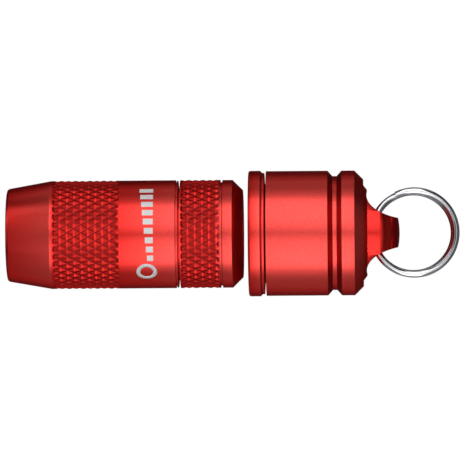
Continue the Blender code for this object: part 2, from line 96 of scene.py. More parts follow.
def remap(tree, value, low, high, new_low, new_high, **settings):
    """The result of a Map Range node."""
    inputs = {0: value, 1: low, 2: high, 3: new_low, 4: new_high}
    return out(tree, "ShaderNodeMapRange", inputs, **settings)


def linear(hex_colour):
    """A linear RGBA colour from sRGB hex such as "c8102e"."""
    shares = [int(hex_colour[i : i + 2], 16) / 255 for i in (0, 2, 4)]
    return (*[s / 12.92 if s <= 0.04045 else ((s + 0.055) / 1.055) ** 2.4 for s in shares], 1.0)


# %% Helpers for materials
def new_material(name):
    """A new material, its tree, its Principled shader and the place on the object, in metres."""
    material = bpy.data.materials.new(name)
    material.use_nodes = True
    tree = material.node_tree
    place = add(tree, "ShaderNodeTexCoord").outputs["Object"]
    return material, tree, tree.nodes["Principled BSDF"], place


def noise(tree, place, size, detail=2.0):
    """A noise whose patches are about `size` across."""
    inputs = {"Vector": place, "Scale": 1 / size, "Detail": detail}
    return out(tree, "ShaderNodeTexNoise", inputs)


def blend(tree, factor, one, other):
    """A mix of two colours."""
    inputs = {"Factor": factor, "A": one, "B": other}
    return add(tree, "ShaderNodeMix", inputs, data_type="RGBA").outputs["Result"]


def bump(tree, height, strength, depth):
    """A Bump node of a real depth."""
    return add(tree, "ShaderNodeBump", {"Height": height, "Strength": strength, "Distance": depth})


# %% [markdown]
# ## Red anodised aluminium, turned
# Anodising grows a clear, dyed oxide on bare aluminium. The eye sees a metal whose reflections are
# tinted deep red, under a thin clear layer that adds a weak white sheen of its own. So the shader is a
# full metal with a saturated red and a weak clear coat. The lathe tool leaves fine rings, about 0.04 mm
# apart on the real part. That is too fine to show, so they are drawn about 0.15 mm apart, as a bump
# that only depends on the place along the axis. The blasted grain under the dye is a second, weaker
# bump. Edges lose a little dye, which the `edge` attribute marks. The floors of the knurl and the
# slopes of the cap's wide groove get painted shade, a darker red in the colour, which the `groove`
# attribute marks.


# %% Anodised aluminium
def anodised_aluminium(name, dye, worn_dye, deep_dye_and_groove_shade, edge_tint, roughness):
    """The dye's colours on open metal and on worn edges, a deeper red that is also painted shade in
    grooves, and the tint where the eye grazes it.
    """
    material, tree, shader, place = new_material(name)
    along = add(tree, "ShaderNodeSeparateXYZ", {0: place}).outputs["X"]
    ring_number = calc(tree, "DIVIDE", along, 0.15 * MM)
    rings = out(tree, "ShaderNodeTexNoise", {"W": ring_number, "Scale": 1.0, "Detail": 3.0},
                noise_dimensions="1D")
    grain = noise(tree, place, 0.12 * MM)

    # Colour: the dye varies a little over the part and thins at edges, and painted shade darkens the
    # grooves
    uneven = remap(tree, noise(tree, place, 6 * MM), 0.3, 0.7, 0.0, 0.10)
    even_dye = blend(tree, uneven, linear(dye), linear(deep_dye_and_groove_shade))
    edge = add(tree, "ShaderNodeAttribute", attribute_name="edge").outputs["Fac"]
    with_edges = blend(tree, calc(tree, "MULTIPLY", edge, grain), even_dye, linear(worn_dye))
    depth = add(tree, "ShaderNodeAttribute", attribute_name="groove").outputs["Fac"]
    # Painted shade: where the groove attribute is high, the colour turns to the deep red
    painted_groove_shade = remap(tree, depth, 0.66, 1.0, 0.0, 1.0)

    # Relief: the grain lies on the tool's rings
    ring_bump = bump(tree, rings, 0.5, 0.004 * MM)
    grain_bump = bump(tree, grain, 0.35, 0.004 * MM)
    feed(tree, grain_bump, {"Normal": ring_bump.outputs[0]})
    feed(tree, shader, {
        "Base Color": blend(tree, painted_groove_shade, with_edges, linear(deep_dye_and_groove_shade)),
        "Roughness": remap(tree, rings, 0.3, 0.7, roughness - 0.04, roughness + 0.05),
        "Normal": grain_bump.outputs[0],
        "Metallic": 1.0,
        "Specular Tint": linear(edge_tint),
        "Coat Weight": 0.22,
        "Coat Roughness": 0.18,
        "Coat IOR": 1.5,
    })
    return material


# The third colour is a deeper dye tone and also the painted shade in the grooves
red_aluminium = anodised_aluminium("turned_red_anodised_aluminium", "f82e28", "ff6a62", "700308",
                                   "ff2a1c", 0.32)
print("made", red_aluminium.name)

# %% [markdown]
# ## The other metals
# The split ring is spring steel wire, nickel plated and tumbled bright, so only a faint waviness is
# left on it. The dock's magnet has a plainer nickel, the plug a rolled steel sheet with lines along it,
# and the contacts a soft-looking gold plate. The reflector is silvered.


# %% Metals
def plated_metal(name, colour, tint, roughness, line_width, direction, depth):
    """A bright metal with fine lines; direction stretches their pattern along X, Y and Z."""
    material, tree, shader, place = new_material(name)
    stretched = out(tree, "ShaderNodeMapping", {"Vector": place, "Scale": direction})
    lines = noise(tree, stretched, line_width, 3.0)
    clouds = noise(tree, place, 1.5 * MM)
    feed(tree, shader, {
        "Base Color": blend(tree, clouds, linear(colour), linear(tint)),
        "Roughness": remap(tree, lines, 0.3, 0.7, roughness * 0.8, roughness * 1.3),
        "Normal": bump(tree, lines, 0.4, depth).outputs[0],
        "Metallic": 1.0,
    })
    return material


no_lines, along_plug, along_pin = (1, 1, 1), (0.05, 1, 1), (0.2, 1, 1)
tumbled_nickel = plated_metal("tumbled_nickel_plated_spring_steel", "e2e2e6", "d4d5da", 0.07, 0.60 * MM,
                              no_lines, 0.0003 * MM)
magnet_nickel = plated_metal("nickel_plated_magnet", "c9c4b8", "b3aea2", 0.24, 0.08 * MM,
                             no_lines, 0.002 * MM)
pressed_steel = plated_metal("rolled_steel_sheet", "bfc1c4", "a8abb0", 0.26, 0.06 * MM,
                             along_plug, 0.002 * MM)
gold_plate = plated_metal("gold_plated_brass", "e8bd5a", "d9a842", 0.22, 0.06 * MM, along_pin, 0.001 * MM)
silvering = plated_metal("silvered_reflector", "f2f2f4", "e6e7ea", 0.05, 0.25 * MM, no_lines, 0.0005 * MM)
print("made", tumbled_nickel.name, magnet_nickel.name, pressed_steel.name, gold_plate.name, silvering.name)

# %% [markdown]
# ## Rubber, plastic, boards, ink and clear optics
# None of these is metal. Each has two close tones and a fine grain, at the scale of its own process:
# moulded rubber and nylon, sprayed solder mask, shrunk wrap and film, pad printed ink. The clear
# optics only have the faint flow of their moulding.


# %% Plastics, rubber, boards and print
def moulded(name, colour, tint, roughness, grain_size, depth, coat=0.0):
    """A non-metal with a fine grain of a real size, in two close tones."""
    material, tree, shader, place = new_material(name)
    grain = noise(tree, place, grain_size, 4.0)
    feed(tree, shader, {
        "Base Color": blend(tree, grain, linear(colour), linear(tint)),
        "Roughness": remap(tree, grain, 0.3, 0.7, roughness - 0.05, roughness + 0.05),
        "Normal": bump(tree, grain, 0.5, depth).outputs[0],
        "Coat Weight": coat,
    })
    return material


nitrile = moulded("moulded_nitrile_rubber", "1b1b1d", "262628", 0.62, 0.10 * MM, 0.004 * MM)
nylon = moulded("moulded_black_nylon", "202022", "2c2c2f", 0.42, 0.15 * MM, 0.004 * MM)
white_mask = moulded("white_solder_mask", "eceae2", "dedcd2", 0.40, 0.30 * MM, 0.002 * MM, coat=0.4)
green_mask = moulded("green_solder_mask", "0f6b36", "0b5229", 0.36, 0.30 * MM, 0.002 * MM, coat=0.4)
phosphor = moulded("phosphor_in_silicone", "f0d65a", "e3c243", 0.45, 0.05 * MM, 0.003 * MM)
shrink_wrap = moulded("heat_shrink_cell_wrap", "24549a", "1d4786", 0.30, 0.40 * MM, 0.004 * MM, coat=0.5)
film = moulded("polyester_film", "cfc7ae", "bdb498", 0.28, 0.50 * MM, 0.002 * MM)
white_ink = moulded("pad_printed_white_ink", "ffffff", "f8f7f6", 0.32, 0.08 * MM, 0.001 * MM, coat=1.0)
print("made", nitrile.name, nylon.name, white_ink.name, "and the rest")


# %% Clear optics
def clear(name, colour, ior, roughness):
    """A clear moulded optic."""
    material, tree, shader, place = new_material(name)
    flow = noise(tree, place, 3 * MM)
    feed(tree, shader, {
        "Base Color": linear(colour),
        "Roughness": roughness,
        "Normal": bump(tree, flow, 0.2, 0.002 * MM).outputs[0],
        "IOR": ior,
        "Transmission Weight": 1.0,
    })
    return material


coated_glass = clear("coated_optical_glass", "f4f8fb", 1.52, 0.01)
silicone_dome = clear("clear_silicone_dome", "fdf8e4", 1.41, 0.03)
print("made", coated_glass.name, silicone_dome.name)

# %% [markdown]
# ## Turned shapes
# A turned part is an outline spun round its axis, and that is how it is made here too: a list of
# (place along the axis, radius) corners, spun by bmesh. The outlines run round the section of the
# solid, so every piece is closed.


# %% Helpers for turned shapes
sharp_angle = math.radians(38)


def soften(corners, steps=4):
    """Rounds each (x, radius, fillet) corner of a closed outline, and keeps those without a fillet."""
    points = []
    count = len(corners)
    for i, (x, radius, fillet) in enumerate(corners):
        here = Vector((x, radius))
        if fillet == 0:
            points.append(here)
            continue
        before = Vector(corners[i - 1][:2]) - here
        after = Vector(corners[(i + 1) % count][:2]) - here
        half_angle = before.angle(after) / 2
        reach = min(fillet / math.tan(half_angle), 0.48 * before.length, 0.48 * after.length)
        start = here + before.normalized() * reach
        end = here + after.normalized() * reach
        for step in range(steps + 1):
            t = step / steps
            points.append(start * (1 - t) ** 2 + here * 2 * t * (1 - t) + end * t**2)
    return [(p.x, p.y) for p in points]


def turned_mesh(name, outline, segments):
    """A new object: the outline spun round the X axis. It is closed, or meets the axis at both ends."""
    x, radius = np.array(outline).T
    angle = np.arange(segments)[:, None] * 2 * math.pi / segments
    across = np.broadcast_to(x, (segments, len(x)))
    points = np.stack([across, radius * np.sin(angle), radius * np.cos(angle)], axis=2).reshape(-1, 3)
    here = np.arange(len(x) if radius.min() > 0 else len(x) - 1)
    there = (here + 1) % len(x)
    turn = np.arange(segments)[:, None] * len(x)
    next_turn = np.roll(turn, -1)
    corners = [turn + here, turn + there, next_turn + there, next_turn + here]
    quads = np.stack(corners, axis=2).reshape(-1, 4)
    mesh = bpy.data.meshes.new(name)
    mesh.from_pydata(points, [], quads)
    bm = bmesh.new()
    bm.from_mesh(mesh)
    bpy.data.meshes.remove(mesh)
    on_axis = [point for point in bm.verts if math.hypot(point.co.y, point.co.z) < 0.001 * MM]
    bmesh.ops.remove_doubles(bm, verts=on_axis, dist=0.001 * MM)
    bmesh.ops.recalc_face_normals(bm, faces=bm.faces)
    return object_from(bm, name)


def object_from(bm, name):
    """A new smooth-shaded object from a bmesh, which is freed."""
    mesh = bpy.data.meshes.new(name)
    bm.to_mesh(mesh)
    bm.free()
    mesh.shade_smooth()
    mesh.set_sharp_from_angle(angle=sharp_angle)
    made = bpy.data.objects.new(name, mesh)
    bpy.context.collection.objects.link(made)
    return made


def mark_edges(piece, corners, reach):
    """Writes the `edge` attribute: 1 at an outline's outer corners, fading out over `reach`."""
    points = np.empty(len(piece.data.vertices) * 3)
    piece.data.vertices.foreach_get("co", points)
    points = points.reshape(-1, 3)
    section = np.stack([points[:, 0], np.hypot(points[:, 1], points[:, 2])], axis=1)
    nearest = np.full(len(section), np.inf)
    for corner in corners:
        nearest = np.minimum(nearest, np.hypot(*(section - corner).T))
    attribute = piece.data.attributes.new("edge", "FLOAT", "POINT")
    attribute.data.foreach_set("value", np.exp(-((nearest / reach) ** 2)))


# %% Helpers for finished pieces
def settle(piece, body, slot, material, *nodes):
    """Gives the piece its material and body, and hides the CAD nodes that it stands for; slot is not used.
    """
    piece.data.materials.clear()
    piece.data.materials.append(material)
    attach(piece, body)
    if nodes:
        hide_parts(*nodes)
    piece.data.calc_loop_triangles()
    print(f"{piece.name}: {len(piece.data.loop_triangles)} triangles, rides on {body}")
    return piece


def evaluated_copy(source, name):
    """The object's evaluated mesh as a plain new object; the source is removed."""
    view = source.evaluated_get(bpy.context.evaluated_depsgraph_get())
    mesh = bpy.data.meshes.new_from_object(view)
    bpy.data.objects.remove(source)
    made = bpy.data.objects.new(name, mesh)
    bpy.context.collection.objects.link(made)
    return made


def set_inputs(modifier, values):
    """Sets a Geometry Nodes modifier's inputs by their names, through the sockets' identifiers."""
    for item in modifier.node_group.interface.items_tree:
        if item.in_out == "INPUT" and item.name in values:
            modifier[item.identifier] = values[item.name]


def new_tree(name, result, floats, integers=(), geometry=()):
    """A Geometry Nodes tree with these inputs and a material; returns the tree and its inputs."""
    tree = bpy.data.node_groups.new(name, "GeometryNodeTree")
    kinds = {"NodeSocketGeometry": geometry, "NodeSocketFloat": floats, "NodeSocketInt": integers,
             "NodeSocketMaterial": ("Material",)}
    for kind, names in kinds.items():
        for socket in names:
            tree.interface.new_socket(socket, in_out="INPUT", socket_type=kind)
    tree.interface.new_socket(result, in_out="OUTPUT", socket_type="NodeSocketGeometry")
    return tree, add(tree, "NodeGroupInput").outputs


def end_tree(tree, geometry, material):
    """Ends a tree: its instances are made real and get their material."""
    real = out(tree, "GeometryNodeRealizeInstances", {0: geometry})
    finished = out(tree, "GeometryNodeSetMaterial", {"Geometry": real, "Material": material})
    add(tree, "NodeGroupOutput", {0: finished})
    return tree


def laid(name, tree, values):
    """A new plain object that a Geometry Nodes tree makes from its inputs alone."""
    holder = bpy.data.objects.new(name + "_guide", bpy.data.meshes.new(name + "_guide"))
    bpy.context.collection.objects.link(holder)
    modifier = holder.modifiers.new(name, "NODES")
    modifier.node_group = tree
    set_inputs(modifier, values)
    return evaluated_copy(holder, name)


# %% [markdown]
# ## The knurl
# The grip is a diamond knurl: a tool with crossed ridges is pressed into the turning bar, and leaves two
# families of V grooves that cross at an angle and cut the surface into small pyramids. The shape
# follows a rule, so Geometry Nodes make it. With u counting cells round the part and v counting cells
# along it, the grooves are where u + v or u - v is a whole number, and the height at a point is its
# distance to the nearest groove. The tree pushes the vertices of a finely turned mesh inwards by that
# rule, lets the pattern run out at both ends, writes how deep each point lies for the material, and
# splits each small square along the groove that crosses it, so that no groove is jagged.


# %% The knurl tree
def holds(tree, operation, one, other):
    """Whether a comparison of two numbers holds."""
    inputs = {0: one, 1: other}
    return out(tree, "FunctionNodeCompare", inputs, data_type="FLOAT", operation=operation)


def knurl_tree():
    """Presses the knurl into a turned mesh."""
    floats = ("Start", "Length", "Radius", "Cells Around", "Axial Pitch", "Depth", "Raise", "Crest",
              "Run-out")
    tree, given = new_tree("diamond_knurl", "Knurled Mesh", floats, geometry=("Turned Mesh",))

    # Where a point is: along the axis, round it, and how far out
    place = out(tree, "GeometryNodeInputPosition")
    x, y, z = add(tree, "ShaderNodeSeparateXYZ", {0: place}).outputs
    angle = calc(tree, "ARCTAN2", y, z)
    turns = calc(tree, "DIVIDE", angle, 2 * math.pi)
    outward = out(tree, "ShaderNodeCombineXYZ", {1: y, 2: z})
    distance = add(tree, "ShaderNodeVectorMath", {0: outward}, operation="LENGTH").outputs["Value"]
    direction = out(tree, "ShaderNodeVectorMath", {0: outward}, operation="NORMALIZE")

    # The two families of grooves
    into_band = calc(tree, "SUBTRACT", x, given["Start"])
    u = calc(tree, "MULTIPLY", turns, given["Cells Around"])
    v = calc(tree, "DIVIDE", into_band, given["Axial Pitch"])
    rising = calc(tree, "ADD", u, v)
    falling = calc(tree, "SUBTRACT", u, v)
    to_rising = calc(tree, "PINGPONG", rising, 0.5)
    to_falling = calc(tree, "PINGPONG", falling, 0.5)
    to_groove = calc(tree, "MINIMUM", to_rising, to_falling)
    height = remap(tree, to_groove, 0.0, given["Crest"], 0.0, 1.0)

    # The pattern lives on the outer surface of its band, and runs out at the ends
    to_end = calc(tree, "SUBTRACT", given["Length"], into_band)
    nearer = calc(tree, "MINIMUM", into_band, to_end)
    fade = remap(tree, nearer, 0.0, given["Run-out"], 0.0, 1.0)
    skin = calc(tree, "SUBTRACT", given["Radius"], 0.1 * MM)
    outside = calc(tree, "GREATER_THAN", distance, skin)
    share = calc(tree, "MULTIPLY", fade, outside)
    low = calc(tree, "SUBTRACT", 1.0, height)
    groove = calc(tree, "MULTIPLY", low, share)
    cut = calc(tree, "MULTIPLY", groove, given["Depth"])
    raised = calc(tree, "MULTIPLY", share, given["Raise"])
    push = calc(tree, "SUBTRACT", raised, cut)
    offset = out(tree, "ShaderNodeVectorMath", {0: direction, "Scale": push}, operation="SCALE")

    # The groove depth is kept before the points move, because the fields read their places. The material
    # darkens the deepest points with it, as painted shade.
    kept = out(tree, "GeometryNodeStoreNamedAttribute",
               {"Geometry": given["Turned Mesh"], "Name": "groove", "Value": groove},
               data_type="FLOAT", domain="POINT")
    mesh = out(tree, "GeometryNodeSetPosition", {"Geometry": kept, "Offset": offset})

    # Each small square is split along the groove that crosses it
    in_band = holds(tree, "GREATER_THAN", share, 0.0)
    by_rising = holds(tree, "LESS_THAN", to_rising, to_falling)
    by_falling = out(tree, "FunctionNodeBooleanMath", {0: by_rising}, operation="NOT")
    for chosen, split in ((by_rising, "FIXED"), (by_falling, "FIXED_ALTERNATE")):
        faces = out(tree, "FunctionNodeBooleanMath", {0: in_band, 1: chosen}, operation="AND")
        inputs = {"Mesh": mesh, "Selection": faces}
        mesh = out(tree, "GeometryNodeTriangulate", inputs, quad_method=split)
    return end_tree(tree, mesh, given["Material"])


diamond_knurl = knurl_tree()
print("the knurl tree has", len(diamond_knurl.nodes), "nodes")


# %% Knurling a turned piece
# The lattice: 41 diamonds round the part, each 1.87 mm long, on a mesh of 16 steps a diamond
cells_around = 41
axial_pitch = 8.40 / 4.5 * MM
steps_per_cell = 16
knurl_step = axial_pitch / steps_per_cell
knurled_segments = cells_around * steps_per_cell
light_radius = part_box("head_body")[1].z


def with_knurl_rings(outline, start, steps):
    """Adds the knurl's closely spaced rings to an outline, and a plain ring beside each end."""
    added = [(start + i * knurl_step, light_radius) for i in range(-1, steps + 2)]
    on_skin = [i for i, (x, radius) in enumerate(outline) if radius > light_radius - 0.02 * MM]
    before = max(i for i in on_skin if outline[i][0] < added[0][0])
    return outline[: before + 1] + added + outline[before + 1 :]


def knurled(source, name, start, steps):
    """The turned mesh with its band knurled, as a plain object."""
    values = {
        "Start": start, "Length": steps * knurl_step, "Radius": light_radius,
        "Cells Around": float(cells_around), "Axial Pitch": axial_pitch, "Depth": 0.21 * MM,
        "Raise": 0.02 * MM, "Crest": 0.46, "Run-out": 0.22 * MM, "Material": red_aluminium,
    }
    modifier = source.modifiers.new("knurl", "NODES")
    modifier.node_group = diamond_knurl
    set_inputs(modifier, values)
    made = evaluated_copy(source, name)
    made.data.set_sharp_from_angle(angle=sharp_angle)
    return made


print(f"the knurl has {cells_around} cells round and {knurled_segments} steps round")

# %% [markdown]
# ## The head body
# One bar makes the light's front and body. From the front: a rounded rim, a 10 degree cone, a short
# plain strip, the long knurl, a smooth band and the parting groove against the tail. Everything goes
# in from the rear, so the front lip is solid and only its opening shows the lens.

# %% Head body
touch_gap = 0.25 * MM
slide_gap = 0.20 * MM
front_lip_radius = 5.00 * MM
front_radius = 6.11 * MM
cone_length = 5.84 * MM
opening_radius = 4.55 * MM
opening_depth = 0.45 * MM
parting_depth = 0.30 * MM
rib_drop = 0.07 * MM
thread_depth = 0.70 * MM
long_knurl_steps = 74

body_low, body_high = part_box("head_body")
front_x, body_end_x = body_low.x, body_high.x
body_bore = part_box("cell_sleeve")[1].z + slide_gap
optic_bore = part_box("lens")[1].z + slide_gap
screw_bore = body_bore + thread_depth
screw_end_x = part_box("body_seal")[0].x - touch_gap
cell_room_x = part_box("driver_board")[0].x - touch_gap
optic_room_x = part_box("led_board")[0].x
lip_inner_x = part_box("lens_seal")[0].x - touch_gap
rib_x = body_end_x - 0.18 * MM
groove_x = rib_x - 0.13 * MM
long_knurl_start = front_x + cone_length + 0.44 * MM

body_corners = [
    (front_x, front_lip_radius, 0.12 * MM),
    (front_x, front_radius, 0.48 * MM),
    (front_x + cone_length, light_radius, 0.8 * MM),
    (groove_x, light_radius, 0.06 * MM),
    (groove_x, light_radius - parting_depth, 0.03 * MM),
    (rib_x, light_radius - parting_depth, 0.03 * MM),
    (rib_x, light_radius - rib_drop, 0.05 * MM),
    (body_end_x, light_radius - rib_drop, 0.05 * MM),
    (body_end_x, screw_bore, 0.05 * MM),
    (screw_end_x, screw_bore, 0),
    (screw_end_x, body_bore, 0),
    (cell_room_x, body_bore, 0),
    (optic_room_x, optic_bore, 0),
    (lip_inner_x, optic_bore, 0.05 * MM),
    (lip_inner_x, opening_radius, 0.08 * MM),
    (front_x + opening_depth, opening_radius, 0.08 * MM),
]
outline = soften(body_corners)
outline = with_knurl_rings(outline, long_knurl_start, long_knurl_steps)
turned_body = turned_mesh("head_body_blank", outline, knurled_segments)
mark_edges(turned_body, [corner[:2] for corner in body_corners[:8]], 0.14 * MM)
head_body = knurled(turned_body, "head_body_turned", long_knurl_start, long_knurl_steps)
settle(head_body, "light", "red_anodised", red_aluminium, "head_body")

# %% [markdown]
# ## The tail sleeve
# The tail unscrews at the parting groove. It has a short knurl, a narrow groove, a plain band and a 45
# degree chamfer that centres the light in the dock. Its end wall has a hole for the contact.

# %% Tail sleeve
chamfer = 1.37 * MM
plain_band = 1.34 * MM
sleeve_groove = 0.45 * MM
sleeve_groove_depth = 0.30 * MM
band_drop = 0.015 * MM
end_wall = 1.26 * MM
tail_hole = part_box("tail_insulator")[1].z - 0.40 * MM
short_knurl_steps = 43

sleeve_low, sleeve_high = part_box("tail_sleeve")
tail_x = sleeve_high.x
sleeve_front_x = body_end_x + touch_gap
short_knurl_start = sleeve_front_x + 0.07 * MM + knurl_step
groove_end_x = tail_x - chamfer - plain_band
groove_start_x = groove_end_x - sleeve_groove
screw_radius = screw_bore - slide_gap

sleeve_corners = [
    (sleeve_low.x, body_bore, 0.05 * MM),
    (sleeve_low.x, screw_radius, 0.12 * MM),
    (sleeve_front_x, screw_radius, 0.03 * MM),
    (sleeve_front_x, light_radius, 0.05 * MM),
    (groove_start_x, light_radius, 0.07 * MM),
    (groove_start_x, light_radius - sleeve_groove_depth, 0.06 * MM),
    (groove_end_x, light_radius - sleeve_groove_depth, 0.06 * MM),
    (groove_end_x, light_radius - band_drop, 0.07 * MM),
    (tail_x - chamfer, light_radius - band_drop, 0.10 * MM),
    (tail_x, light_radius - chamfer, 0.10 * MM),
    (tail_x, tail_hole, 0.08 * MM),
    (tail_x - end_wall, tail_hole, 0),
    (tail_x - end_wall, body_bore, 0),
]
outline = soften(sleeve_corners)
outline = with_knurl_rings(outline, short_knurl_start, short_knurl_steps)
turned_sleeve = turned_mesh("tail_sleeve_blank", outline, knurled_segments)
mark_edges(turned_sleeve, [corner[:2] for corner in sleeve_corners[3:11]], 0.12 * MM)
tail_sleeve = knurled(turned_sleeve, "tail_sleeve_turned", short_knurl_start, short_knurl_steps)
settle(tail_sleeve, "light", "red_anodised", red_aluminium, "tail_sleeve")

# %% [markdown]
# ## The printed mark
# A white mark is pad printed on the smooth band: a small ring, for the lens, and a row of bars that grow,
# for the brightness. A pad presses a flat picture onto the round, and the tree below does the same. The
# bars are instances of one bar, longer from one to the next. Ring and bars lie flat first, and then the
# whole picture is rolled onto the cylinder, with the flat Y direction becoming the arc. The bars are
# divided along Y, so that they bend.


# %% The mark tree
def mark_tree():
    """Lays out the ring and the bars, and rolls them onto a cylinder."""
    floats = ("Bar Pitch", "Bar Width", "Shortest", "Longest", "Foot X", "First Bar", "Ring X", "Ring Arc",
              "Ring Radius", "Ring Stroke", "Ink", "Cylinder Radius")
    tree, given = new_tree("rolled_on_mark", "Mark", floats, integers=("Bars",))

    # The bars: one unit bar, placed and stretched by its number
    row = out(tree, "GeometryNodeMeshLine", {"Count": given["Bars"]})
    number = out(tree, "GeometryNodeInputIndex")
    last = calc(tree, "SUBTRACT", given["Bars"], 1.0)
    share = calc(tree, "DIVIDE", number, last)
    length = remap(tree, share, 0.0, 1.0, given["Shortest"], given["Longest"])
    half = calc(tree, "MULTIPLY", length, 0.5)
    middle_x = calc(tree, "SUBTRACT", given["Foot X"], half)
    arc = calc(tree, "MULTIPLY_ADD", number, given["Bar Pitch"], given["First Bar"])
    spot = out(tree, "ShaderNodeCombineXYZ", {0: middle_x, 1: arc})
    size = out(tree, "ShaderNodeCombineXYZ", {0: length, 1: given["Bar Width"], 2: given["Ink"]})
    places = out(tree, "GeometryNodeSetPosition", {"Geometry": row, "Position": spot})
    divisions = {"Size": (1, 1, 1), "Vertices X": 2, "Vertices Y": 7, "Vertices Z": 2}
    bar = out(tree, "GeometryNodeMeshCube", divisions)
    bars = out(tree, "GeometryNodeInstanceOnPoints",
               {"Points": places, "Instance": bar, "Scale": size})

    # The ring: a circle swept with a flat stroke
    round_path = {"Resolution": 72, "Radius": given["Ring Radius"]}
    circle = out(tree, "GeometryNodeCurvePrimitiveCircle", round_path)
    stroke = out(tree, "GeometryNodeCurvePrimitiveQuadrilateral",
                 {"Width": given["Ring Stroke"], "Height": given["Ink"]})
    band = out(tree, "GeometryNodeCurveToMesh", {"Curve": circle, "Profile Curve": stroke})
    ring_spot = out(tree, "ShaderNodeCombineXYZ", {0: given["Ring X"], 1: given["Ring Arc"]})
    ring = out(tree, "GeometryNodeTransform", {"Geometry": band, "Translation": ring_spot})

    # All of it is made real, then rolled on
    joined = add(tree, "GeometryNodeJoinGeometry")
    tree.links.new(bars, joined.inputs[0])
    tree.links.new(ring, joined.inputs[0])
    real = out(tree, "GeometryNodeRealizeInstances", {0: joined.outputs[0]})
    place = out(tree, "GeometryNodeInputPosition")
    x, y, z = add(tree, "ShaderNodeSeparateXYZ", {0: place}).outputs
    angle = calc(tree, "DIVIDE", y, given["Cylinder Radius"])
    radius = calc(tree, "ADD", given["Cylinder Radius"], z)
    sine = calc(tree, "SINE", angle)
    cosine = calc(tree, "COSINE", angle)
    up = calc(tree, "MULTIPLY", radius, sine)
    back = calc(tree, "MULTIPLY", radius, cosine)
    front = calc(tree, "MULTIPLY", back, -1.0)
    rolled = out(tree, "ShaderNodeCombineXYZ", {0: x, 1: front, 2: up})
    mesh = out(tree, "GeometryNodeSetPosition", {"Geometry": real, "Position": rolled})
    return end_tree(tree, mesh, given["Material"])


# %% Printed mark
mark_middle_x = groove_x - 3.78 * MM
longest_bar = 1.80 * MM
mark_values = {
    "Bars": 9, "Bar Pitch": 1.24 * MM, "Bar Width": 0.78 * MM, "First Bar": -3.25 * MM,
    "Shortest": 0.80 * MM, "Longest": longest_bar, "Foot X": mark_middle_x + longest_bar / 2,
    "Ring X": mark_middle_x,
    "Ring Arc": -5.45 * MM, "Ring Radius": 1.10 * MM, "Ring Stroke": 0.52 * MM, "Ink": 0.02 * MM,
    "Cylinder Radius": light_radius, "Material": white_ink,
}
mark = laid("printed_mark", mark_tree(), mark_values)
settle(mark, "light", None, white_ink)

# %% [markdown]
# ## The dock's collar
# The collar is the cap's mouth. Its inside is a 45 degree socket with a flat floor, and the dock's ring
# magnet looks through the hole in that floor.

# %% Dock collar
collar_rim = 1.57 * MM
collar_step = 0.26 * MM
collar_step_depth = 0.28 * MM
socket_floor_width = 0.93 * MM

collar_low, collar_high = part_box("dock_collar")
magnet_low, magnet_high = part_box("dock_magnet")
collar_radius = collar_high.z
magnet_seat = magnet_high.z + touch_gap
socket_floor_x = magnet_low.x - 0.10 * MM
socket_depth = socket_floor_x - collar_low.x
socket_floor_radius = magnet_seat + socket_floor_width
collar_corners = [
    (collar_low.x, socket_floor_radius + socket_depth, 0.12 * MM),
    (collar_low.x, collar_radius, 0.32 * MM),
    (collar_low.x + collar_rim, collar_radius, 0.06 * MM),
    (collar_low.x + collar_rim + collar_step, collar_radius - collar_step_depth, 0.05 * MM),
    (collar_high.x, collar_radius - collar_step_depth, 0.04 * MM),
    (collar_high.x, magnet_seat, 0.04 * MM),
    (socket_floor_x, magnet_seat, 0.06 * MM),
    (socket_floor_x, socket_floor_radius, 0.06 * MM),
]
dock_collar = turned_mesh("dock_collar_turned", soften(collar_corners), 256)
mark_edges(dock_collar, [corner[:2] for corner in collar_corners[:4]], 0.12 * MM)
settle(dock_collar, "dock", "red_anodised", red_aluminium, "dock_collar")

# %% [markdown]
# ## The cap shell and its lug
# The cap is one turning too, and the lug starts as a round boss on its end. A cutter with an oval
# section has taken a scoop from above and from below, so the lug is thin where the split ring passes and
# flares into the boss. The boss is turned, the scoops and the hole are Boolean cuts, and a fine bevel
# breaks the edges that they leave.

# %% Cap shell
end_chamfer = 1.18 * MM
wide_groove_mouth = 0.92 * MM
wide_groove_floor = 0.28 * MM
wide_groove_depth = 0.72 * MM
boss_foot_radius = 6.31 * MM
boss_top_radius = 5.70 * MM
boss_height = 0.48 * MM
lug_radius = 5.40 * MM
nose_length = 2.76 * MM
nose_steps = 24

shell_low, shell_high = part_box("cap_shell")
cap_radius = shell_high.z
cap_end_x = -2.11 * MM
cap_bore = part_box("dock_carrier")[1].z + touch_gap
cavity_end_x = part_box("plug_shell")[1].x + touch_gap
wide_groove_x = cap_end_x - 3.81 * MM
lug_foot_x = cap_end_x + boss_height
nose_x = shell_high.x - nose_length
nose_angles = [math.pi / 2 * (1 - i / nose_steps) for i in range(nose_steps)]
cap_corners = [
    (cavity_end_x, 0, 0),
    (cavity_end_x, cap_bore, 0.4 * MM),
    (shell_low.x, cap_bore, 0.05 * MM),
    (shell_low.x, cap_radius, 0.06 * MM),
    (wide_groove_x - wide_groove_mouth, cap_radius, 0.08 * MM),
    (wide_groove_x - wide_groove_floor, cap_radius - wide_groove_depth, 0.10 * MM),
    (wide_groove_x + wide_groove_floor, cap_radius - wide_groove_depth, 0.10 * MM),
    (wide_groove_x + wide_groove_mouth, cap_radius, 0.08 * MM),
    (cap_end_x - end_chamfer, cap_radius, 0.12 * MM),
    (cap_end_x, cap_radius - end_chamfer, 0.12 * MM),
    (cap_end_x, boss_foot_radius, 0.08 * MM),
    (lug_foot_x, boss_top_radius, 0.08 * MM),
    (lug_foot_x, lug_radius, 0),
    (lug_foot_x + 0.15 * MM, lug_radius, 0),
    *[(nose_x + nose_length * math.cos(t), lug_radius * math.sin(t), 0) for t in nose_angles],
    (shell_high.x, 0, 0),
]
cap_blank = turned_mesh("cap_shell_blank", soften(cap_corners, steps=6), 192)
mark_edges(cap_blank, [corner[:2] for corner in cap_corners[3:11]], 0.14 * MM)
print("the cap's outline has", len(cap_corners), "corners")


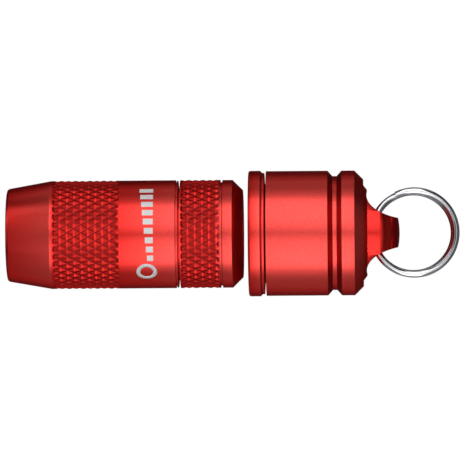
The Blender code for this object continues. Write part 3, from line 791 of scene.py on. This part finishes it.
# %% Scoops, ring hole and broken edges
def cut(target, bm, place):
    """Takes the shape out of the target, and returns the cutting object."""
    tool = object_from(bm, "cutting_tool")
    tool.location = place
    boolean = target.modifiers.new("cut", "BOOLEAN")
    boolean.operation = "DIFFERENCE"
    boolean.object = tool
    return tool


def cone_mesh(segments, radius, depth):
    """A cylinder along Z as a bmesh."""
    bm = bmesh.new()
    bmesh.ops.create_cone(bm, cap_ends=True, segments=segments, radius1=radius, radius2=radius, depth=depth)
    return bm


def oval_rod(half_length, half_height, depth):
    """A rod along Y with an oval section, as a bmesh."""
    bm = cone_mesh(128, 1, depth)
    bmesh.ops.transform(bm, matrix=Matrix.Rotation(math.pi / 2, 4, "X"), verts=bm.verts)
    bmesh.ops.transform(bm, matrix=Matrix.Diagonal((half_length, 1, half_height, 1)), verts=bm.verts)
    bmesh.ops.recalc_face_normals(bm, faces=bm.faces)
    return bm


scoop_half_length = 6.70 * MM
scoop_half_height = 3.30 * MM
scoop_offset = 5.00 * MM
hole_radius = 1.62 * MM
through = 4 * lug_radius
tools = []
for side in (1, -1):
    scoop = oval_rod(scoop_half_length, scoop_half_height, through)
    tools.append(cut(cap_blank, scoop, (scoop_offset, 0, side * scoop_offset)))
tools.append(cut(cap_blank, cone_mesh(96, hole_radius, through), (0, 0, 0)))
broken_edge = cap_blank.modifiers.new("broken_edge", "BEVEL")
broken_edge.width = 0.09 * MM
broken_edge.segments = 2
broken_edge.limit_method = "ANGLE"
broken_edge.harden_normals = True
broken_edge.angle_limit = sharp_angle
cap_shell = evaluated_copy(cap_blank, "cap_shell_turned")
for tool in tools:
    bpy.data.objects.remove(tool)
cap_shell.data.set_sharp_from_angle(angle=sharp_angle)

# Painted shade: the slopes of the wide groove are marked to get a darker red in the colour
groove_shade = cap_shell.data.attributes.new("groove", "FLOAT", "FACE").data
for number, face in enumerate(cap_shell.data.polygons):
    near = abs(face.center.x - wide_groove_x) < wide_groove_mouth + 0.03 * MM
    outside = face.center.yz.length > cap_radius - wide_groove_depth - 0.03 * MM
    sloping = 0.35 < abs(face.normal.x) < 0.95
    groove_shade[number].value = 0.85 if near and outside and sloping else 0.0
settle(cap_shell, "cap", "red_anodised", red_aluminium, "cap_shell")

# %% [markdown]
# ## Inside the dock
# A nylon carrier is pressed into the cap's bore behind the collar. It holds the ring magnet and the
# spring contact at the front and the plug at the rear, and an O-ring in its groove gives the cap its
# grip. All but the plug are turned shapes; each has a moulded or ground edge of its own size.

# %% Carrier and magnet
_, carrier_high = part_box("dock_carrier")
_, barrel_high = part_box("pin_barrel")
dock_seal_low, dock_seal_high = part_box("dock_seal")
carrier_radius = carrier_high.z
seal_wire = (dock_seal_high.x - dock_seal_low.x) / 2
seal_floor = dock_seal_high.z - 2 * seal_wire - 0.02 * MM
boss_radius = barrel_high.z + 0.80 * MM
carrier_corners = [
    (collar_high.x + 0.03 * MM, magnet_seat, 0.05 * MM),
    (collar_high.x + 0.03 * MM, carrier_radius - 0.10 * MM, 0.06 * MM),
    (dock_seal_low.x - 0.10 * MM, carrier_radius - 0.10 * MM, 0.05 * MM),
    (dock_seal_low.x - 0.10 * MM, seal_floor, 0.05 * MM),
    (dock_seal_high.x + 0.10 * MM, seal_floor, 0.05 * MM),
    (dock_seal_high.x + 0.10 * MM, carrier_radius, 0.05 * MM),
    (carrier_high.x, carrier_radius, 0.20 * MM),
    (carrier_high.x, barrel_high.z + 0.10 * MM, 0),
    (magnet_low.x + 0.12 * MM, barrel_high.z + 0.10 * MM, 0.05 * MM),
    (magnet_low.x + 0.12 * MM, boss_radius, 0.05 * MM),
    (magnet_high.x + touch_gap, boss_radius, 0),
    (magnet_high.x + touch_gap, magnet_seat, 0),
]
dock_carrier = turned_mesh("dock_carrier_moulded", soften(carrier_corners), 160)
settle(dock_carrier, "dock", "black_plastic", nylon, "dock_carrier")

magnet_bore = boss_radius + slide_gap
magnet_corners = [
    (magnet_low.x, magnet_bore, 0.10 * MM),
    (magnet_low.x, magnet_high.z, 0.20 * MM),
    (magnet_high.x, magnet_high.z, 0.20 * MM),
    (magnet_high.x, magnet_bore, 0.10 * MM),
]
dock_magnet = turned_mesh("dock_magnet_ground", soften(magnet_corners), 160)
settle(dock_magnet, "dock", "magnet_nickel", magnet_nickel, "dock_magnet")


# %% O-rings
seal_sides = 20


def o_ring(name, body):
    """A rubber ring of round section that fills the box of the CAD piece of that name."""
    low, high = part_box(name)
    wire = (high.x - low.x) / 2
    middle = Vector(((low.x + high.x) / 2, high.z - wire))
    turns = [2 * math.pi * i / seal_sides for i in range(seal_sides)]
    section = [(middle.x + wire * math.cos(t), middle.y + wire * math.sin(t)) for t in turns]
    return settle(turned_mesh(name + "_ring", section, 160), body, "black_rubber", nitrile, name)


for seal, seal_body in (("dock_seal", "dock"), ("lens_seal", "light"), ("body_seal", "light")):
    o_ring(seal, seal_body)

# %% [markdown]
# ## The plug
# The plug's shell is steel sheet, bent round and butted, so its outside corners are round and its mouth
# is slightly rolled. Two square windows in each wide side let a socket's springs catch it. The tongue
# inside carries four flat contacts. Here the shell is a rounded frame, extruded, with the windows cut.

# %% Plug shell
plug_wall = 0.30 * MM
corner_radius = 0.65 * MM
least_corner = 0.20 * MM
roll = 0.08 * MM
window_size = (2.0 * MM, 2.4 * MM)
window_from_mouth = 5.0 * MM
window_from_middle = 2.6 * MM
plug_low, plug_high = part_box("plug_shell")


def rounded_rectangle(half_y, half_z, radius, steps=8):
    """Points round a rectangle with round corners."""
    points = []
    for quarter, (side_y, side_z) in enumerate(((1, 1), (-1, 1), (-1, -1), (1, -1))):
        for step in range(steps + 1):
            t = math.pi / 2 * (quarter + step / steps)
            points.append((side_y * (half_y - radius) + radius * math.cos(t),
                           side_z * (half_z - radius) + radius * math.sin(t)))
    return points


# The frame's sections, from the root along the outside, round the rolled mouth and back inside
stations = [
    (plug_low.x, 0),
    (plug_high.x - 2 * roll, 0),
    (plug_high.x - 0.5 * roll, 0.3 * roll),
    (plug_high.x, roll),
    (plug_high.x, plug_wall),
    (plug_low.x, plug_wall),
]
shell_bm = bmesh.new()
rings = []
for x, inset in stations:
    corner = max(corner_radius - inset, least_corner)
    section = rounded_rectangle(plug_high.y - inset, plug_high.z - inset, corner)
    rings.append([shell_bm.verts.new((x, y, z)) for y, z in section])
for ring, next_ring in zip(rings, rings[1:] + rings[:1]):
    for i in range(len(ring)):
        j = (i + 1) % len(ring)
        shell_bm.faces.new((ring[i], ring[j], next_ring[j], next_ring[i]))
bmesh.ops.recalc_face_normals(shell_bm, faces=shell_bm.faces)
plug_blank = object_from(shell_bm, "plug_shell_blank")
windows = []
for side in (-1, 1):
    window = bmesh.new()
    bmesh.ops.create_cube(window, size=1.0)
    shape = Matrix.Diagonal((*window_size, 3 * plug_high.z, 1))
    bmesh.ops.transform(window, matrix=shape, verts=window.verts)
    place = (plug_high.x - window_from_mouth, side * window_from_middle, 0)
    windows.append(cut(plug_blank, window, place))
plug_shell = evaluated_copy(plug_blank, "plug_shell_pressed")
for window in windows:
    bpy.data.objects.remove(window)
plug_shell.data.set_sharp_from_angle(angle=sharp_angle)
settle(plug_shell, "dock", "plug_steel", pressed_steel, "plug_shell")

# %% [markdown]
# ## The optics
# Behind the lip sits a flat glass with ground edges, and behind the glass a silvered bowl whose section
# is a parabola. Both are turned shapes again, and the parabola is one line of code.

# %% Lens and reflector
lens_low, lens_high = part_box("lens")
glass_corners = [
    (lens_low.x, 0, 0),
    (lens_low.x, lens_high.z, 0.10 * MM),
    (lens_high.x, lens_high.z, 0.10 * MM),
    (lens_high.x, 0, 0),
]
lens = turned_mesh("lens_ground", soften(glass_corners), 160)
settle(lens, "light", "clear_lens", coated_glass, "lens")

bowl_low, bowl_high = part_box("reflector")
bowl_mouth = bowl_high.z - 0.35 * MM
led_hole = 1.90 * MM
bowl_steps = 28
bowl_depth = bowl_high.x - bowl_low.x
steepness = bowl_depth / (bowl_mouth**2 - led_hole**2)
radii = [bowl_mouth + (led_hole - bowl_mouth) * i / bowl_steps for i in range(bowl_steps + 1)]
bowl = [(bowl_low.x + (bowl_mouth**2 - radius**2) * steepness, radius) for radius in radii]
bowl_outline = [(bowl_high.x, bowl_high.z), (bowl_low.x, bowl_high.z), *bowl]
reflector = turned_mesh("reflector_bowl", bowl_outline, 160)
settle(reflector, "light", "silvered", silvering, "reflector")

# %% [markdown]
# ## The split ring
# A split ring is nearly two turns of spring wire, side by side. The wire starts at a cut end in front,
# goes once round, crosses to the rear behind that end, and goes round again. The path follows a rule,
# so Geometry Nodes lay it: a line of points is moved onto the coil, turned into a curve and swept with
# a round section.


# %% The coil tree
def coil_tree():
    """Lays the wire of a split ring."""
    floats = ("Centre X", "Ring Radius", "Rear Radius", "Rear Shift", "Rear Drop", "Lane Spacing",
              "Start Angle", "Crossing Angle", "Wire Radius")
    tree, given = new_tree("split_ring_coil", "Ring", floats, integers=("Points",))

    line = out(tree, "GeometryNodeMeshLine", {"Count": given["Points"]})
    index = out(tree, "GeometryNodeInputIndex")
    last = calc(tree, "SUBTRACT", given["Points"], 1.0)
    share = calc(tree, "DIVIDE", index, last)
    total = calc(tree, "SUBTRACT", 4 * math.pi, given["Crossing Angle"])
    wound = calc(tree, "MULTIPLY", share, total)
    first = calc(tree, "SUBTRACT", 2 * math.pi, given["Crossing Angle"])
    lane = remap(tree, wound, first, 2 * math.pi, 0.0, 1.0, interpolation_type="SMOOTHSTEP")
    angle = calc(tree, "SUBTRACT", given["Start Angle"], wound)

    # The rear lane is a little smaller and sits a little lower and nearer the lug
    lanes = {"Factor": lane, "A": given["Ring Radius"], "B": given["Rear Radius"]}
    radius = out(tree, "ShaderNodeMix", lanes)
    shift = calc(tree, "MULTIPLY", lane, given["Rear Shift"])
    centre = calc(tree, "SUBTRACT", given["Centre X"], shift)
    cosine = calc(tree, "COSINE", angle)
    sine = calc(tree, "SINE", angle)
    x = calc(tree, "MULTIPLY_ADD", radius, cosine, centre)
    drop = calc(tree, "MULTIPLY", lane, given["Rear Drop"])
    height = calc(tree, "MULTIPLY", radius, sine)
    z = calc(tree, "SUBTRACT", height, drop)
    from_middle = calc(tree, "SUBTRACT", lane, 0.5)
    y = calc(tree, "MULTIPLY", from_middle, given["Lane Spacing"])
    place = out(tree, "ShaderNodeCombineXYZ", {0: x, 1: y, 2: z})

    path = out(tree, "GeometryNodeSetPosition", {"Geometry": line, "Position": place})
    curve = out(tree, "GeometryNodeMeshToCurve", {0: path})
    round_wire = {"Resolution": 20, "Radius": given["Wire Radius"]}
    section = out(tree, "GeometryNodeCurvePrimitiveCircle", round_wire)
    wire = out(tree, "GeometryNodeCurveToMesh",
               {"Curve": curve, "Profile Curve": section, "Fill Caps": True})
    return end_tree(tree, wire, given["Material"])


# %% Split ring
wire_radius = 0.465 * MM
ring_low, ring_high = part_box("split_ring")
ring_radius = (ring_high.x - ring_low.x) / 2 - wire_radius
ring_values = {
    "Centre X": (ring_low.x + ring_high.x) / 2, "Ring Radius": ring_radius, "Wire Radius": wire_radius,
    "Rear Radius": ring_radius - 0.12 * MM, "Rear Shift": 0.12 * MM, "Rear Drop": 0.04 * MM,
    "Lane Spacing": 2 * wire_radius, "Start Angle": math.radians(116), "Crossing Angle": math.radians(44),
    "Points": 240, "Material": tumbled_nickel,
}
split_ring = laid("split_ring_wire", coil_tree(), ring_values)
split_ring.data.set_sharp_from_angle(angle=math.radians(45))
settle(split_ring, "key_ring", "ring_steel", tumbled_nickel, "split_ring")

# %% [markdown]
# ## The camera
# The object is seen square from the side with a long lens, from a place nearer the ring's end: the
# distance keeps the edges of every turned band almost straight. The camera leans by a few tenths of a
# degree, so the ring's end stands a hair higher.

# %% Camera
camera_distance = 770 * MM
frame_width = 61.6 * MM
look_at = Vector((-19.48 * MM, 0, 0.17 * MM))
camera_data = bpy.data.cameras.new("camera")
camera_data.sensor_width = 36.0
camera_data.lens = camera_data.sensor_width * camera_distance / frame_width
camera_data.clip_start = 0.05
camera = bpy.data.objects.new("camera", camera_data)
bpy.context.collection.objects.link(camera)
camera.location = (-1.0 * MM, -camera_distance, 0.17 * MM)
aim = (look_at - camera.location).to_track_quat("-Z", "Y")
lean = Matrix.Rotation(math.radians(-0.42), 4, "Z")
camera.rotation_euler = (aim.to_matrix().to_4x4() @ lean).to_euler()
bpy.context.scene.camera = camera
print(f"the lens is {camera_data.lens:.0f} mm long")

# %% [markdown]
# ## Light, floor and background
# Round metal shows its surroundings, so the lights are what draw it. Two bright softboxes stand in
# front, one above and one below the camera's height, with a narrow gap between them that draws the dull
# line along the middle. A weaker, taller one lies over each, so that the highlights fade out at their
# edges. All four are slim along the flashlight, so the cone and the 45 degree chamfers turn away from
# them and go dark. Dimmer panels at the ends, above and behind give the other sides something to
# reflect. The floor looks as pale as the backdrop, but throws almost no light up at the object.

# %% Studio
scene = bpy.context.scene
scene.view_settings.view_transform = "Standard"
world = bpy.data.worlds.new("studio")
scene.world = world
world.use_nodes = True
sky = world.node_tree
surroundings = sky.nodes["Background"]
feed(sky, surroundings, {"Color": (1, 1, 1, 1), "Strength": 0.05})
backdrop = out(sky, "ShaderNodeBackground", {"Color": (1, 1, 1, 1), "Strength": 1.0})
seen = add(sky, "ShaderNodeLightPath").outputs["Is Camera Ray"]
mixed = out(sky, "ShaderNodeMixShader", {0: seen, 1: surroundings.outputs[0], 2: backdrop})
sky.links.new(mixed, sky.nodes["World Output"].inputs[0])


def softbox(name, azimuth, elevation, distance, width, height, radiance):
    """An even panel that faces the object's middle; azimuth 0 is the camera's side, angles in degrees."""
    panel = bpy.data.lights.new(name, "AREA")
    panel.shape = "RECTANGLE"
    panel.size = width
    panel.size_y = height
    panel.energy = radiance * math.pi * width * height
    lamp = bpy.data.objects.new(name, panel)
    bpy.context.collection.objects.link(lamp)
    a, e = math.radians(azimuth), math.radians(elevation)
    middle = Vector((-19.5 * MM, 0, 0))
    away = Vector((math.sin(a) * math.cos(e), -math.cos(a) * math.cos(e), math.sin(e)))
    lamp.location = middle + away * distance
    lamp.rotation_euler = (-away).to_track_quat("-Z", "Y").to_euler()
    lamp.visible_camera = False
    return lamp


# Azimuth and elevation in degrees; distance, width and height in metres; radiance
panels = {
    "upper_front": (0, 36, 0.5, 0.24, 0.62, 1.30),
    "upper_front_soft": (0, 52, 0.5, 0.24, 0.72, 0.42),
    "lower_front": (0, -35.2, 0.33, 0.158, 0.42, 1.25),
    "lower_front_soft": (0, -48, 0.33, 0.158, 0.44, 0.36),
    "overhead": (0, 102, 0.5, 0.50, 0.20, 0.22),
    "right_soft": (21, 0, 0.5, 0.13, 0.60, 0.55),
    "right_end": (88, 0, 0.5, 0.30, 0.50, 0.09),
    "left_end": (-86, 12, 0.5, 0.40, 0.40, 0.55),
    "left_wall": (-31, 0, 0.5, 0.20, 0.76, 0.34),
    "upper_left": (-56, 40, 0.5, 0.20, 0.34, 0.9),
    "right_wall": (34, 0, 0.5, 0.20, 0.76, 0.28),
    "upper_back": (180, 62, 0.5, 0.50, 0.24, 0.16),
    "lower_back": (180, -60, 0.33, 0.40, 0.20, 0.09),
}
for panel_name, panel_values in panels.items():
    softbox(panel_name, *panel_values)
print("the studio has", len(panels), "softboxes")

# %% Floor
white_floor = moulded("matt_white_floor", "f4f4f4", "efefef", 0.8, 20 * MM, 0.1 * MM)
floor_tree = white_floor.node_tree
glow = out(floor_tree, "ShaderNodeEmission", {"Color": (1, 1, 1, 1), "Strength": 0.86})
by_eye = add(floor_tree, "ShaderNodeLightPath").outputs["Is Camera Ray"]
matt = floor_tree.nodes["Principled BSDF"].outputs[0]
floor_look = out(floor_tree, "ShaderNodeMixShader", {0: by_eye, 1: matt, 2: glow})
floor_tree.links.new(floor_look, floor_tree.nodes["Material Output"].inputs[0])

floor_height = -0.42
floor_mesh = bmesh.new()
bmesh.ops.create_circle(floor_mesh, cap_ends=True, segments=128, radius=1.6)
floor = object_from(floor_mesh, "floor")
floor.location.z = floor_height
floor.data.materials.append(white_floor)
print("the floor is", round(-floor_height / MM), "mm below the object")

# %% [markdown]
# ## The CAD pieces that keep their shape
# The small pieces inside are right as they are. Each gets the finish of what it is made of, by its
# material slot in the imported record.

# %% Finishes for the CAD nodes
finish_of_slot = {
    "red_anodised": red_aluminium, "ring_steel": tumbled_nickel, "plug_steel": pressed_steel,
    "magnet_nickel": magnet_nickel, "gold_plate": gold_plate, "black_rubber": nitrile,
    "black_plastic": nylon, "white_board": white_mask, "green_board": green_mask,
    "clear_lens": coated_glass, "silvered": silvering, "phosphor": phosphor, "cell_wrap": shrink_wrap,
    "clear_film": film,
}
for part in frame["record"]["subparts"]:
    for holder in frame["nodes"][part["node"]].material_slots:
        holder.material = finish_of_slot[part["material_slot"]]
for holder in frame["nodes"]["led_dome"].material_slots:
    holder.material = silicone_dome
